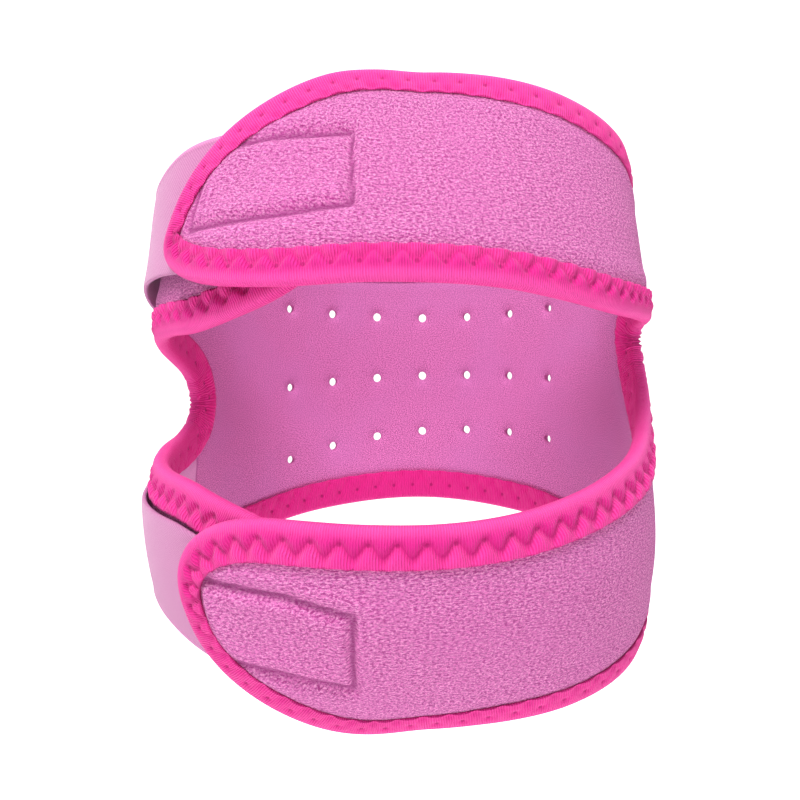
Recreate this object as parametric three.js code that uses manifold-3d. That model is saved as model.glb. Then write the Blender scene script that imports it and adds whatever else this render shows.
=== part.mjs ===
// Double-loop knee strap, fastened round the leg it is made for.
// The origin is on the leg's axis level with the kneecap, +Z runs up the leg and -Y is the front.
// A place on the band is a turn round the leg in degrees, from the front toward +X and on past 180
// to the short arms, with a height above the kneecap.
import * as THREE from 'three';
import Module from 'manifold-3d';
import { mergeVertices } from 'three/addons/utils/BufferGeometryUtils.js';

const wasm = await Module();
wasm.setup();

// Driving sizes of the band, in millimetres
const legRadius = 59.4; // outer face of the band at its sides
const laminate = 3.2; // foam with a cloth on each side
const topReach = 73; // top edge of the upper strap, above the kneecap
const bottomReach = 71; // bottom edge of the lower strap, below it
const openingRise = 27; // front opening, upward
const openingDrop = 22.5; // front opening, downward
const waist = 20; // height past which the straps lean inward
const waistBend = 6; // how softly they start to
const upperStraight = 0.58; // share of the upper lean that is straight, the rest curving in
const lowerStraight = 0.1;
const topInset = 29; // how far the top edge leans in at the front
const bottomInset = 27.5; // how far the bottom edge leans in at the front
const lowerBulge = 2.6; // how much fuller the lower strap sits, and how much more so on the right
const bulgeSway = 1.3;
const bulgeFrom = 95; // turns from the front between which that fullness fades
const bulgeTo = 150;
const notchFlare = 3.1; // how far the band stands off round the right notch
const notchFlareTurn = 102; // the middle of that flare, and how far it spreads
const notchFlareHeight = 10.5;
const notchFlareTurns = 17;
const notchFlareHeights = 21;
const tipLift = 6; // how far the fastened tips ride outward over the short arms
const gap = 0.35; // room between neighbouring pieces

// Driving sizes of the trim and the fasteners
const tapeWidth = 7.2;
const tapeThickness = 0.7;
const pinch = 0.8; // how far the tape presses each face of the foam in at its edge
const gather = 0.6; // height of the puckers where the tape turns the notches
const holeRadius = 1.2;
const holePitch = 13.1;
const holeColumns = 7;
const tabThickness = 1.2;
const upperTabEdge = 4.5; // the loop tabs start this far past the short arms' tape
const lowerTabEdge = 1.5;
const upperTabFlare = 1.2; // how far the opening side of a tab stands off
const lowerTabFlare = 0.2;
const tabBelly = 2; // how far the upper tab bulges off its arm where it nears the tip
const hookThickness = 1;
const hookGap = 0.45; // room between a tip and its patch
const hookEdge = tapeWidth + 5.8; // from the edge of a tip to its hook patch

// Turns where the arms end, and where their ends start to round, in degrees
const upperTip = -51;
const lowerTip = -41;
const armEnd = 348;
const tabStart = 264;
const tabEnd = 359;
const hookStart = -3;
const rightNotch = 106;
const leftNotch = 256;
const gatherReach = 14; // turns on each side of a notch where the tape puckers
const liftFrom = -44; // the tips ride fully over before this turn, and not at all past the next
const liftTo = 18;
const diveFrom = 282; // turns between which the short arms dive under
const diveTo = 316;
const flareFrom = 300; // turns between which a tab's opening side comes back down
const flareTo = 330;
const bellyFrom = 268; // turns between which the belly of a tab grows, and then fades
const bellyTo = 286;
const bellyOff = 296;
const bellyEnd = 318;

// Outer edges, as shares of topReach and bottomReach
const outerEdge = [
  { turn: -52, top: 0.86, bottom: 0.87 },
  { turn: -30, top: 0.925, bottom: 0.935 },
  { turn: -15, top: 0.97, bottom: 0.975 },
  { turn: 0, top: 0.995, bottom: 1 },
  { turn: 15, top: 1, bottom: 1 },
  { turn: 30, top: 1, bottom: 0.99 },
  { turn: 45, top: 0.985, bottom: 0.97 },
  { turn: 60, top: 0.95, bottom: 0.94 },
  { turn: 75, top: 0.895, bottom: 0.895 },
  { turn: 90, top: 0.825, bottom: 0.82 },
  { turn: 105, top: 0.725, bottom: 0.7 },
  { turn: 120, top: 0.645, bottom: 0.59 },
  { turn: 135, top: 0.59, bottom: 0.515 },
  { turn: 150, top: 0.56, bottom: 0.47 },
  { turn: 180, top: 0.54, bottom: 0.435 },
  { turn: 210, top: 0.545, bottom: 0.475 },
  { turn: 240, top: 0.56, bottom: 0.56 },
  { turn: 262, top: 0.575, bottom: 0.59 },
  { turn: 280, top: 0.66, bottom: 0.635 },
  { turn: 295, top: 0.76, bottom: 0.7 },
  { turn: 310, top: 0.815, bottom: 0.78 },
  { turn: 325, top: 0.835, bottom: 0.83 },
  { turn: 350, top: 0.84, bottom: 0.85 },
];

// Edges of the front opening, as shares of openingRise (above) and openingDrop (below)
const openingEdge = [
  { turn: -52, above: 0.97, below: 0.98 },
  { turn: -20, above: 0.955, below: 0.96 },
  { turn: 0, above: 1.02, below: 1 },
  { turn: 15, above: 1.03, below: 1 },
  { turn: 30, above: 0.99, below: 0.93 },
  { turn: 45, above: 0.9, below: 0.79 },
  { turn: 60, above: 0.81, below: 0.62 },
  { turn: 75, above: 0.77, below: 0.435 },
  { turn: 88, above: 0.75, below: 0.2 },
  { turn: 96, above: 0.735, below: 0 },
  { turn: 101, above: 0.71, below: -0.2 },
  { turn: 104, above: 0.67, below: -0.41 },
  { turn: 106, above: 0.56, below: -0.672 },
  { turn: 256, above: -0.07, below: 0.084 },
  { turn: 257.2, above: 0.09, below: 0.25 },
  { turn: 260, above: 0.22, below: 0.37 },
  { turn: 265, above: 0.32, below: 0.47 },
  { turn: 273, above: 0.42, below: 0.53 },
  { turn: 286, above: 0.55, below: 0.63 },
  { turn: 300, above: 0.62, below: 0.7 },
  { turn: 313, above: 0.65, below: 0.75 },
  { turn: 322, above: 0.72, below: 0.84 },
  { turn: 332, above: 0.85, below: 0.96 },
  { turn: 342, above: 0.96, below: 1.01 },
  { turn: 350, above: 1.02, below: 1.03 },
];

// Share of the front's inward lean, by the turn away from the front on either side. The first row mirrors the
// third one, so that the curve is level at the front
const leanShare = [
  { away: -30, lean: 0.93 },
  { away: 0, lean: 1 },
  { away: 30, lean: 0.93 },
  { away: 60, lean: 0.6 },
  { away: 90, lean: 0.26 },
  { away: 120, lean: 0.07 },
  { away: 150, lean: 0 },
  { away: 180, lean: 0 },
];

// Rows of holes: the height at the middle, what the two ends add to it, and how much one end drops
const holeRows = [
  { height: 21.2, ends: 2.5, tilt: 0 },
  { height: 4.2, ends: -1.6, tilt: -1.5 },
  { height: -12.2, ends: -4.2, tilt: -3.4 },
];

const rad = THREE.MathUtils.degToRad;
const { clamp, smoothstep, lerp } = THREE.MathUtils;

// A table's column at a place along its first column, as a smooth curve through its rows
function along(table, key, column, at) {
  const x = (i) => table[clamp(i, 0, table.length - 1)][key];
  const y = (i) => table[clamp(i, 0, table.length - 1)][column];
  let i = 0;
  while (i < table.length - 2 && at > x(i + 1)) i += 1;
  const span = x(i + 1) - x(i);
  const t = clamp((at - x(i)) / span, 0, 1);
  const slope = (k) => {
    const rise = y(k + 1) - y(k - 1);
    return rise / (x(k + 1) - x(k - 1));
  };
  const square = t * t;
  const cube = square * t;
  return (2 * cube - 3 * square + 1) * y(i) + (cube - 2 * square + t) * span * slope(i)
    + (3 * square - 2 * cube) * y(i + 1) + (cube - square) * span * slope(i + 1);
}

const fromFront = (turn) => Math.abs(((turn + 540) % 360) - 180);

// Radius of the outer face of a single layer of band
function bandRadius(turn, height) {
  const away = fromFront(turn);
  const lean = along(leanShare, 'away', 'lean', away);
  const up = height > 0;
  const reach = (up ? topReach : bottomReach) - waist;
  const past = Math.abs(height) - waist;
  const share = (past + Math.hypot(past, waistBend)) / 2 / reach;
  const straight = up ? upperStraight : lowerStraight;
  const inset = (up ? topInset : bottomInset) * share * (straight + (1 - straight) * share);
  const full = lowerBulge + bulgeSway * Math.sin(rad(turn));
  const bulge = full * smoothstep(-height, 0, 2 * waist) * (1 - smoothstep(away, bulgeFrom, bulgeTo));
  const fromFlare = Math.hypot(
    (turn - notchFlareTurn) / notchFlareTurns,
    (height - notchFlareHeight) / notchFlareHeights,
  );
  return legRadius + bulge + notchFlare * Math.exp(-(fromFlare ** 2)) - lean * inset;
}

// From the outer face of a short arm to that of the tip over it
const tabRise = 2 * gap + tapeThickness;
const stack = tabRise + tabThickness + gap + hookThickness + hookGap + laminate;

// How far a layer lies off the single layer: the tips ride over, the short arms dive under
function layer(turn) {
  if (turn < 180) return tipLift * (1 - smoothstep(turn, liftFrom, liftTo));
  return (tipLift - stack) * smoothstep(turn, diveFrom, diveTo)
    - tipLift * smoothstep(turn, liftFrom + 360, liftTo + 360);
}

// A point of the band, at a depth outward from its outer face
function place(turn, height, out) {
  const at = (a, h) => {
    const r = bandRadius(a, h);
    return new THREE.Vector3(r * Math.sin(rad(a)), -r * Math.cos(rad(a)), h);
  };
  const step = 0.02;
  const round = at(turn + step, height).sub(at(turn - step, height));
  const upward = at(turn, height + step).sub(at(turn, height - step));
  const outward = round.cross(upward).normalize();
  return at(turn, height).addScaledVector(outward, out + layer(turn));
}

// Share of its width that an arm keeps where its end rounds off, from start to end
function rounding(turn, start, end, power) {
  const past = clamp((turn - start) / (end - start), 0, 1);
  return (1 - past ** power) ** (1 / power);
}

// Each strap: its side of the kneecap, its tip, and where its ends start to round
const straps = {
  upper: {
    side: 1, tip: upperTip, middle: 36, outerStart: -12, innerStart: -27, outer: 'top',
    inner: 'above', reach: topReach, opening: openingRise, tabEdge: upperTabEdge,
    flare: upperTabFlare, belly: tabBelly,
  },
  lower: {
    side: -1, tip: lowerTip, middle: 40, outerStart: -2, innerStart: -18, outer: 'bottom',
    inner: 'below', reach: bottomReach, opening: openingDrop, tabEdge: lowerTabEdge,
    flare: lowerTabFlare, belly: 0,
  },
};
const endPower = 2.2;
const outerPower = 2.6;
const armRoundStart = 328;
const armShift = 4; // a short arm's end is centred this much past its tip's

// Height of a strap's outer or opening edge, with its two ends rounded off
function edgeHeight(strap, turn, isOuter) {
  const raw = isOuter
    ? along(outerEdge, 'turn', strap.outer, turn) * strap.reach
    : along(openingEdge, 'turn', strap.inner, turn) * strap.opening;
  const tipStart = isOuter ? strap.outerStart : strap.innerStart;
  const atTip = rounding(turn, tipStart, strap.tip, isOuter ? outerPower : endPower);
  const atArm = rounding(turn, armRoundStart, armEnd, endPower);
  const armMiddle = strap.middle + armShift;
  const tipped = strap.middle + (raw - strap.middle) * (turn < 90 ? atTip : 1);
  return strap.side * (turn > 270 ? armMiddle + (tipped - armMiddle) * atArm : tipped);
}

// Height where the two straps part, across the rear panel
const parting = (turn) => lerp(
  edgeHeight(straps.upper, rightNotch, false),
  edgeHeight(straps.upper, leftNotch, false),
  (turn - rightNotch) / (leftNotch - rightNotch),
);

const isPanel = (turn) => turn >= rightNotch && turn <= leftNotch;

// The turns that a strap is drawn at, closer where its outline bends
const endShares = [0, 0.14, 0.28, 0.41, 0.53, 0.65, 0.76, 0.85, 0.92, 0.965, 0.99, 0.998];
function stations(strap) {
  const tipTurns = endShares.toReversed().map((share) => strap.tip * share);
  const rightTurns = [8, 16, 24, 32, 40, 48, 56, 64, 72, 79, 85, 90, 94.5, 98, 101, 103.3, 105.2];
  const notchTurns = [256, 256.6, 257.6, 259.2, 261.6, 265, 270, 276];
  const armTurns = [282, 288, 294, 300, 306, 312, 318, 324];
  const endTurns = endShares.map((share) => lerp(armRoundStart, armEnd, share));
  const panelSteps = 20;
  const panelTurns = Array.from({ length: panelSteps }, (_, i) => (
    lerp(rightNotch, leftNotch, i / panelSteps)));
  return [...tipTurns, ...rightTurns, ...panelTurns, ...notchTurns, ...armTurns, ...endTurns];
}

// A closed wall from a flat net of places: the two faces and a rim round every free edge.
// Each face says how far outward it lies at a place, which knows its share of the column it is in.
function thicken(net, triangles, outer, inner) {
  const points = [outer, inner].flatMap((face) => net.flatMap((spot) => (
    place(spot.turn, spot.height, face(spot)).toArray())));
  const count = net.length;
  const index = [];
  const edges = new Map();
  for (const [a, b, c] of triangles) {
    index.push(a, b, c, a + count, c + count, b + count);
    for (const [from, to] of [[a, b], [b, c], [c, a]]) edges.set(`${from},${to}`, [from, to]);
  }
  for (const [from, to] of edges.values()) {
    if (!edges.has(`${to},${from}`)) index.push(from, from + count, to, to, from + count, to + count);
  }
  const geometry = new THREE.BufferGeometry();
  geometry.setAttribute('position', new THREE.Float32BufferAttribute(points, 3));
  geometry.setIndex(index);
  return geometry;
}

// Rows across a column, as shares of its width, with a tape's width of their own at each edge
function tapedRows(width) {
  const edge = Math.min((tapeWidth + gap) / Math.abs(width), 0.3);
  return [0, edge, lerp(edge, 1 - edge, 1 / 3), lerp(edge, 1 - edge, 2 / 3), 1 - edge, 1];
}

// A net of columns at given turns, each divided at shares between its two heights
function columnNet(columns, rowsOf, bank = new Map(), net = [], triangles = []) {
  const find = (turn, height, share) => {
    const key = `${turn.toFixed(3)},${height.toFixed(3)}`;
    if (!bank.has(key)) {
      bank.set(key, net.length);
      net.push({ turn, height, share });
    }
    return bank.get(key);
  };
  const rows = columns.map(({ turn, low, high }) => rowsOf(high - low).map((share) => (
    find(turn, lerp(low, high, share), share))));
  for (let i = 0; i < rows.length - 1; i += 1) {
    for (let k = 0; k < rows[i].length - 1; k += 1) {
      const [a, b] = [rows[i][k], rows[i + 1][k]];
      const [c, d] = [rows[i + 1][k + 1], rows[i][k + 1]];
      triangles.push([a, b, c], [a, c, d]);
    }
  }
  return { net, triangles, bank };
}

// Library solids from geometry and back, for the cuts
function solid(geometry) {
  const bare = geometry.clone();
  bare.deleteAttribute('normal');
  bare.deleteAttribute('uv');
  const merged = mergeVertices(bare, 1e-4);
  return new wasm.Manifold(new wasm.Mesh({
    numProp: 3,
    vertProperties: new Float32Array(merged.getAttribute('position').array),
    triVerts: new Uint32Array(merged.getIndex().array),
  }));
}

function fromSolid(shape) {
  const mesh = shape.getMesh();
  const geometry = new THREE.BufferGeometry();
  geometry.setAttribute('position', new THREE.BufferAttribute(mesh.vertProperties, 3));
  geometry.setIndex(new THREE.BufferAttribute(mesh.triVerts, 1));
  return geometry;
}

// Distance from a point to the stretch between two others
function toSegment(point, start, end) {
  const nearest = new THREE.Vector3();
  new THREE.Line3(start, end).closestPointToPoint(point, true, nearest);
  return nearest.distanceTo(point);
}

// The die-cut laminate: both straps share the rear panel, which is punched through
function bodyGeometry() {
  const sheet = { bank: new Map(), net: [], triangles: [] };
  for (const strap of Object.values(straps)) {
    const columns = stations(strap).map((turn) => {
      const near = isPanel(turn) ? parting(turn) : edgeHeight(strap, turn, false);
      const far = edgeHeight(strap, turn, true);
      return { turn, low: Math.min(near, far), high: Math.max(near, far) };
    });
    columnNet(columns, tapedRows, sheet.bank, sheet.net, sheet.triangles);
  }
  const rim = outline().map(({ turn, height }) => place(turn, height, 0));
  const edgePinch = ({ turn, height }) => {
    const spot = place(turn, height, 0);
    const inFromRim = Math.min(...rim.map((point, i) => (
      toSegment(spot, point, rim[(i + 1) % rim.length]))));
    return pinch * Math.max(0, 1 - inFromRim / tapeWidth);
  };
  let shape = solid(thicken(
    sheet.net,
    sheet.triangles,
    (spot) => -edgePinch(spot),
    (spot) => -laminate + edgePinch(spot),
  ));
  const turnPitch = THREE.MathUtils.radToDeg(holePitch / (legRadius - laminate));
  for (let column = 0; column < holeColumns; column += 1) {
    const fromMiddle = column - (holeColumns - 1) / 2;
    const turn = rad(180 + fromMiddle * turnPitch);
    const end = fromMiddle / ((holeColumns - 1) / 2);
    for (const row of holeRows) {
      const height = row.height + row.ends * end * end + row.tilt * end;
      const punch = new THREE.CylinderGeometry(holeRadius, holeRadius, laminate * 3, 8);
      punch.rotateZ(Math.PI / 2);
      punch.rotateZ(turn - Math.PI / 2);
      punch.translate(legRadius * Math.sin(turn), -legRadius * Math.cos(turn), height);
      shape = shape.subtract(solid(punch));
    }
  }
  return fromSolid(shape);
}

// The outline of the laminate, once round, as places on the band
function outline() {
  const run = (strap, isOuter, from, to) => {
    const turns = stations(strap).concat(rightNotch).filter((t) => t >= from && t <= to);
    return [...new Set(turns)].sort((a, b) => a - b).map((turn) => (
      { turn, height: edgeHeight(strap, turn, isOuter) }));
  };
  const { upper, lower } = straps;
  return [
    ...run(lower, true, -90, 360).toReversed(), ...run(lower, false, -90, rightNotch),
    ...run(upper, false, -90, rightNotch - 0.1).toReversed(), ...run(upper, true, -90, 360),
    ...run(upper, false, leftNotch, 360).toReversed(), ...run(lower, false, leftNotch + 0.1, 360),
  ];
}

// A net of rings joined into one closed skin, each ring to the next and the last to the first
function closedLoop(rings) {
  const around = rings[0].length;
  const index = [];
  for (let i = 0; i < rings.length; i += 1) {
    for (let k = 0; k < around; k += 1) {
      const [here, next] = [i * around, ((i + 1) % rings.length) * around];
      const beside = (k + 1) % around;
      index.push(here + k, here + beside, next + k, here + beside, next + beside, next + k);
    }
  }
  const geometry = new THREE.BufferGeometry();
  const points = rings.flat().flatMap((point) => point.toArray());
  geometry.setAttribute('position', new THREE.Float32BufferAttribute(points, 3));
  geometry.setIndex(index);
  return geometry;
}

// How turn and height change for each millimetre inward from an edge, across the way it runs
function inwardStep(spot, before, after) {
  const step = 0.5;
  const base = place(spot.turn, spot.height, 0);
  const forward = place(after.turn, after.height, 0).sub(place(before.turn, before.height, 0));
  const round = place(spot.turn + step, spot.height, 0).sub(base).divideScalar(step);
  const upward = place(spot.turn, spot.height + step, 0).sub(base).divideScalar(step);
  const inward = forward.cross(round.clone().cross(upward)).normalize();
  const [rr, ru, uu] = [round.dot(round), round.dot(upward), upward.dot(upward)];
  const [ir, iu] = [inward.dot(round), inward.dot(upward)];
  const determinant = rr * uu - ru * ru;
  return { turn: (ir * uu - iu * ru) / determinant, height: (iu * rr - ir * ru) / determinant };
}

// Knit tape folded over the whole outline: a C section carried round it, leg, fold and leg
function bindingGeometry() {
  const skin = gap + tapeThickness;
  const round = skin * 0.75;
  const section = [
    { deep: tapeWidth, out: gap, puckers: 0 },
    { deep: -gap, out: gap - pinch, puckers: 0 },
    { deep: -gap, out: -laminate - gap + pinch, puckers: 0 },
    { deep: tapeWidth, out: -laminate - gap, puckers: 0 },
    { deep: tapeWidth, out: -laminate - skin, puckers: 0 },
    { deep: gap, out: -laminate - skin + pinch, puckers: -1 },
    { deep: -round, out: -laminate - gap + pinch, puckers: -0.5 },
    { deep: -skin, out: -laminate / 2, puckers: 0 },
    { deep: -round, out: gap - pinch, puckers: 0.5 },
    { deep: gap, out: skin - pinch, puckers: 1 },
    { deep: tapeWidth, out: skin, puckers: 0 },
  ];
  const spots = outline();
  const rings = spots.map((spot, i) => {
    const before = spots[(i + spots.length - 1) % spots.length];
    const after = spots[(i + 1) % spots.length];
    const inward = inwardStep(spot, before, after);
    const fromNotch = Math.min(Math.abs(spot.turn - rightNotch), Math.abs(spot.turn - leftNotch));
    const isGathered = fromNotch < gatherReach && Math.abs(spot.height) < waist && i % 2 === 0;
    return section.map(({ deep, out, puckers }) => place(
      spot.turn + inward.turn * deep,
      spot.height + inward.height * deep,
      out + (isGathered ? gather * puckers : 0),
    ));
  });
  return closedLoop(rings);
}

// A loop tab lies over its short arm and clear of the arm's tape, and runs on under the tip
function tabGeometry(strap) {
  const steps = 15;
  const columns = Array.from({ length: steps + 1 }, (_, i) => {
    const turn = lerp(tabStart, tabEnd, i / steps);
    const shown = Math.min(turn, armRoundStart);
    const near = edgeHeight(strap, shown, false) + strap.side * (tapeWidth + strap.tabEdge);
    const far = edgeHeight(strap, shown, true) + strap.side * gap;
    return { turn, low: Math.min(near, far), high: Math.max(near, far) };
  });
  const { net, triangles } = columnNet(columns, tapedRows);
  const flare = ({ turn, share }) => {
    const opening = strap.side > 0 ? 1 - share : share;
    const belly = smoothstep(turn, bellyFrom, bellyTo) * (1 - smoothstep(turn, bellyOff, bellyEnd));
    return strap.flare * opening * opening * (1 - smoothstep(turn, flareFrom, flareTo))
      + strap.belly * belly * smoothstep(1 - opening, 0, 1);
  };
  return thicken(
    net,
    triangles,
    (spot) => tabRise + tabThickness + flare(spot),
    (spot) => tabRise + flare(spot),
  );
}

// A hook patch fills the room between a tab and the inner face of the tip over it
function hookGeometry(strap) {
  const steps = 6;
  const end = strap.tip + THREE.MathUtils.radToDeg(hookEdge / legRadius);
  const columns = Array.from({ length: steps + 1 }, (_, i) => {
    const turn = lerp(end, hookStart, i / steps);
    const near = edgeHeight(strap, turn, false) + strap.side * hookEdge;
    const far = edgeHeight(strap, turn, true) - strap.side * hookEdge;
    return { turn, low: Math.min(near, far), high: Math.max(near, far) };
  });
  const { net, triangles } = columnNet(columns, () => [0, 0.33, 0.67, 1]);
  const face = -laminate - hookGap;
  return thicken(net, triangles, () => face, () => face - hookThickness);
}

// Finishes
const terry = new THREE.MeshStandardMaterial({ color: 0xe178be, roughness: 0.95, metalness: 0 });
const knit = new THREE.MeshStandardMaterial({ color: 0xf0289b, roughness: 0.8, metalness: 0 });
const loop = new THREE.MeshStandardMaterial({ color: 0xebaad7, roughness: 0.9, metalness: 0 });
const hook = new THREE.MeshStandardMaterial({ color: 0xd770b4, roughness: 0.6, metalness: 0 });

function piece(name, geometry, material) {
  geometry.computeVertexNormals();
  const mesh = new THREE.Mesh(geometry, material);
  mesh.name = name;
  return mesh;
}

const strap = new THREE.Group();
strap.add(piece('body', bodyGeometry(), terry));
strap.add(piece('edge_binding', bindingGeometry(), knit));
for (const [name, side] of Object.entries(straps)) {
  strap.add(piece(`${name}_loop_tab`, tabGeometry(side), loop));
  strap.add(piece(`${name}_hook_patch`, hookGeometry(side), hook));
}

export default strap;
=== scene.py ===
# %% [markdown]
# # A double-loop knee strap in foam, brushed cloth and knit tape
#
# The strap is shown fastened, as it sits round a knee that isn't there. One die-cut sheet of
# cloth-faced foam makes the panel behind the knee and the four arms that come from it, a ribbed knit
# tape is folded over every edge, and two pale cloth tabs hold the ends. The imported solids give the
# frame that everything here is built in, so the first cell loads them and bakes their places into their
# meshes.

import bpy
import numpy as np
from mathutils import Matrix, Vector


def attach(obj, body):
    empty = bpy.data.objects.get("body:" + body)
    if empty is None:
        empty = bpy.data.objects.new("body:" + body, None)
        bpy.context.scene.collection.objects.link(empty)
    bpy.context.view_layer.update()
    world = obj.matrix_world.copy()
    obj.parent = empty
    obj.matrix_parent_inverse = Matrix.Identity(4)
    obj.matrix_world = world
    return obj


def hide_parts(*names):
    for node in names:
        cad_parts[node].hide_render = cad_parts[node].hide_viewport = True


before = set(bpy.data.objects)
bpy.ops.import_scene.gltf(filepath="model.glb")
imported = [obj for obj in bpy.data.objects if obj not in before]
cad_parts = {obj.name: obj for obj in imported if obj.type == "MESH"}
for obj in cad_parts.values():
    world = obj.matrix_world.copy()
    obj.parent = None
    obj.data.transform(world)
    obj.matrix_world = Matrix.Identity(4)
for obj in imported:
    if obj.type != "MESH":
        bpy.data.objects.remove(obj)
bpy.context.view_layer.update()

# %% [markdown]
# ## The shape of the band
#
# A point of the band is a turn round the leg in degrees, counted from the front past the right side
# and the back to the left, and a height above the kneecap. One surface formula carries both to a point
# in space, so cloth, tape and tabs all share it and can't drift apart. Sculpting the band by hand
# would give one shape only, while a formula can be sampled as finely as each piece needs.

# %% Sizes of the band, in millimetres
leg_radius = 59.4
foam = 3.2
reach = {"upper": 73.0, "lower": 71.0}
opening = {"upper": 27.0, "lower": 22.5}
inset = {"upper": 29.0, "lower": 27.5}
straight = {"upper": 0.58, "lower": 0.1}
waist = 20.0
waist_bend = 6.0
lower_bulge = 2.6
bulge_sway = 1.3
bulge_fade = (95.0, 150.0)
tip_lift = 6.0
notch_flare = dict(out=3.1, turn=102.0, height=10.5, turns=17.0, heights=21.0)
right_notch = 106.0
left_notch = 256.0
round_start = 328.0
arm_end = 348.0
arm_shift = 4.0
outer_round, inner_round = 2.6, 2.2
lift_turns = (-44.0, 18.0)
dive_turns = (282.0, 316.0)
arc = np.radians(1) * leg_radius
straps = {
    "upper": dict(side=1, tip=-51.0, middle=36.0, outer_start=-12.0, inner_start=-27.0, edge=4.5, flare=1.2,
                  belly=2.0),
    "lower": dict(side=-1, tip=-41.0, middle=40.0, outer_start=-2.0, inner_start=-18.0, edge=0.9, flare=0.2,
                  belly=0.0),
}
print("one degree round the band is", round(arc, 3), "mm")

# %% Edges of the band as shares of each strap's reach, and its lean
outer_edge = {
    "turn": [-52, -30, -15, 0, 15, 30, 45, 60, 75, 90, 105, 120, 135, 150, 180, 210, 240, 262, 280, 295,
             310, 325, 350],
    "upper": [.86, .925, .97, .995, 1, 1, .985, .95, .895, .825, .725, .645, .59, .56, .54, .545, .56,
              .575, .66, .76, .815, .835, .84],
    "lower": [.87, .935, .975, 1, 1, .99, .97, .94, .895, .82, .7, .59, .515, .47, .435, .475, .56, .59, .635,
              .7, .78, .83, .85],
}
opening_edge = {
    "turn": [-52, -20, 0, 15, 30, 45, 60, 75, 88, 96, 101, 104, 106, 256, 257.2, 260, 265, 273, 286, 300,
             313, 322, 332, 342, 350],
    "upper": [.97, .955, 1.02, 1.03, .99, .9, .81, .77, .75, .735, .71, .67, .56, -.07, .09, .22, .32,
              .42, .55, .62, .65, .72, .85, .96, 1.02],
    "lower": [.98, .96, 1, 1, .93, .79, .62, .435, .2, 0, -.2, -.41, -.672, .084, .25, .37, .47, .53, .63,
              .7, .75, .84, .96, 1.01, 1.03],
}
lean_share = {"away": [-30, 0, 30, 60, 90, 120, 150, 180], "lean": [.93, 1, .93, .6, .26, .07, 0, 0]}
print("rows of the edge tables", len(outer_edge["turn"]), "and", len(opening_edge["turn"]))


# %% Smooth curves
def through(table, key, column, at):
    """A smooth curve through a table's rows.

    Between two rows it is a cubic, whose slope at a row is that of the line through its neighbours."""
    x, y = np.array(table[key], float), np.array(table[column], float)
    at = np.clip(at, x[0], x[-1])
    row = np.clip(np.searchsorted(x, at, side="left") - 1, 0, len(x) - 2)
    slope = (np.r_[y[1:], y[-1]] - np.r_[y[0], y[:-1]]) / (np.r_[x[1:], x[-1]] - np.r_[x[0], x[:-1]])
    span = x[row + 1] - x[row]
    t = (at - x[row]) / span
    start, end = y[row], y[row + 1]
    return ((2 * t**3 - 3 * t**2 + 1) * start + (t**3 - 2 * t**2 + t) * span * slope[row]
            + (3 * t**2 - 2 * t**3) * end + (t**3 - t**2) * span * slope[row + 1])


def ease(value, low, high):
    """Nothing below low, one above high, and three t squared less two t cubed between them."""
    t = np.clip((value - low) / (high - low), 0, 1)
    return t * t * (3 - 2 * t)


def bell(off, width):
    """One where off is nought, and e to the minus square of off over width on both sides."""
    return np.exp(-((off / width) ** 2))


print("a width from its top, a bell is down to", round(bell(1, 1), 3))

# %% Radius and layers
gap = 0.35
tape_thickness = 0.7
tab_thickness = 1.2
hook_thickness, hook_gap = 1.0, 0.45
tab_rise = 2 * gap + tape_thickness
stack = tab_rise + tab_thickness + gap + hook_thickness + hook_gap + foam


def band_radius(turn, height):
    """The leg's radius, more where the lower strap bulges and round the right notch, less by the lean of
    a strap past the waist.

    The lean grows with the share of the way from waist to edge, partly evenly and partly as its square.
    A hyperbola's bend starts it softly. The flare at the notch is a bell of turn and height."""
    away = np.abs((turn + 540) % 360 - 180)
    lean = through(lean_share, "away", "lean", away)
    up = height > 0
    past = np.abs(height) - waist
    far, deep, even = (np.where(up, pair["upper"], pair["lower"]) for pair in (reach, inset, straight))
    share = (past + np.hypot(past, waist_bend)) / 2 / (far - waist)
    inward = deep * share * (even + (1 - even) * share)
    full = lower_bulge + bulge_sway * np.sin(np.radians(turn))
    bulge = full * ease(-height, 0, 2 * waist) * (1 - ease(away, *bulge_fade))
    flare = notch_flare
    turns_off = (turn - flare["turn"]) / flare["turns"]
    heights_off = (height - flare["height"]) / flare["heights"]
    return leg_radius + bulge + flare["out"] * bell(np.hypot(turns_off, heights_off), 1) - lean * inward


def layer(turn):
    """How far a layer lies off the plain band: tips ride over, short arms dive under them.

    Each change is an eased step of the turn, times the tip's lift or the height of the stack below."""
    over = tip_lift * (1 - ease(turn, *lift_turns))
    under = (tip_lift - stack) * ease(turn, *dive_turns)
    under = under - tip_lift * ease(turn, lift_turns[0] + 360, lift_turns[1] + 360)
    return np.where(turn < 180, over, under)


print("under a tip lie", round(stack, 2), "mm of layers")

# %% The surface itself
def place(turn, height, out):
    """A point at a depth outward from the band's face, along the face's own normal, in millimetres.

    The face is radius times the turn's sine and minus its cosine; the normal is the cross product of
    two short steps on it, one round and one up."""
    def at(a, h):
        r = band_radius(a, h)
        return np.stack([r * np.sin(np.radians(a)), -r * np.cos(np.radians(a)), h], -1)

    turn, height, out = np.broadcast_arrays(*(np.asarray(x, float) for x in (turn, height, out)))
    step = 0.02
    outward = np.cross(at(turn + step, height) - at(turn - step, height),
                       at(turn, height + step) - at(turn, height - step))
    outward /= np.linalg.norm(outward, axis=-1, keepdims=True)
    return at(turn, height) + outward * (out + layer(turn))[..., None]


print("front of the upper strap", np.round(place(0.0, 50.0, 0.0), 1))

# %% Edges with rounded ends
def rounding(turn, start, end, power):
    """The share of its width that an end keeps: one less a power of how far along it is, to the root."""
    past = np.clip((turn - start) / (end - start), 0, 1)
    return np.clip(1 - past**power, 0, 1) ** (1 / power)


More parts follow.
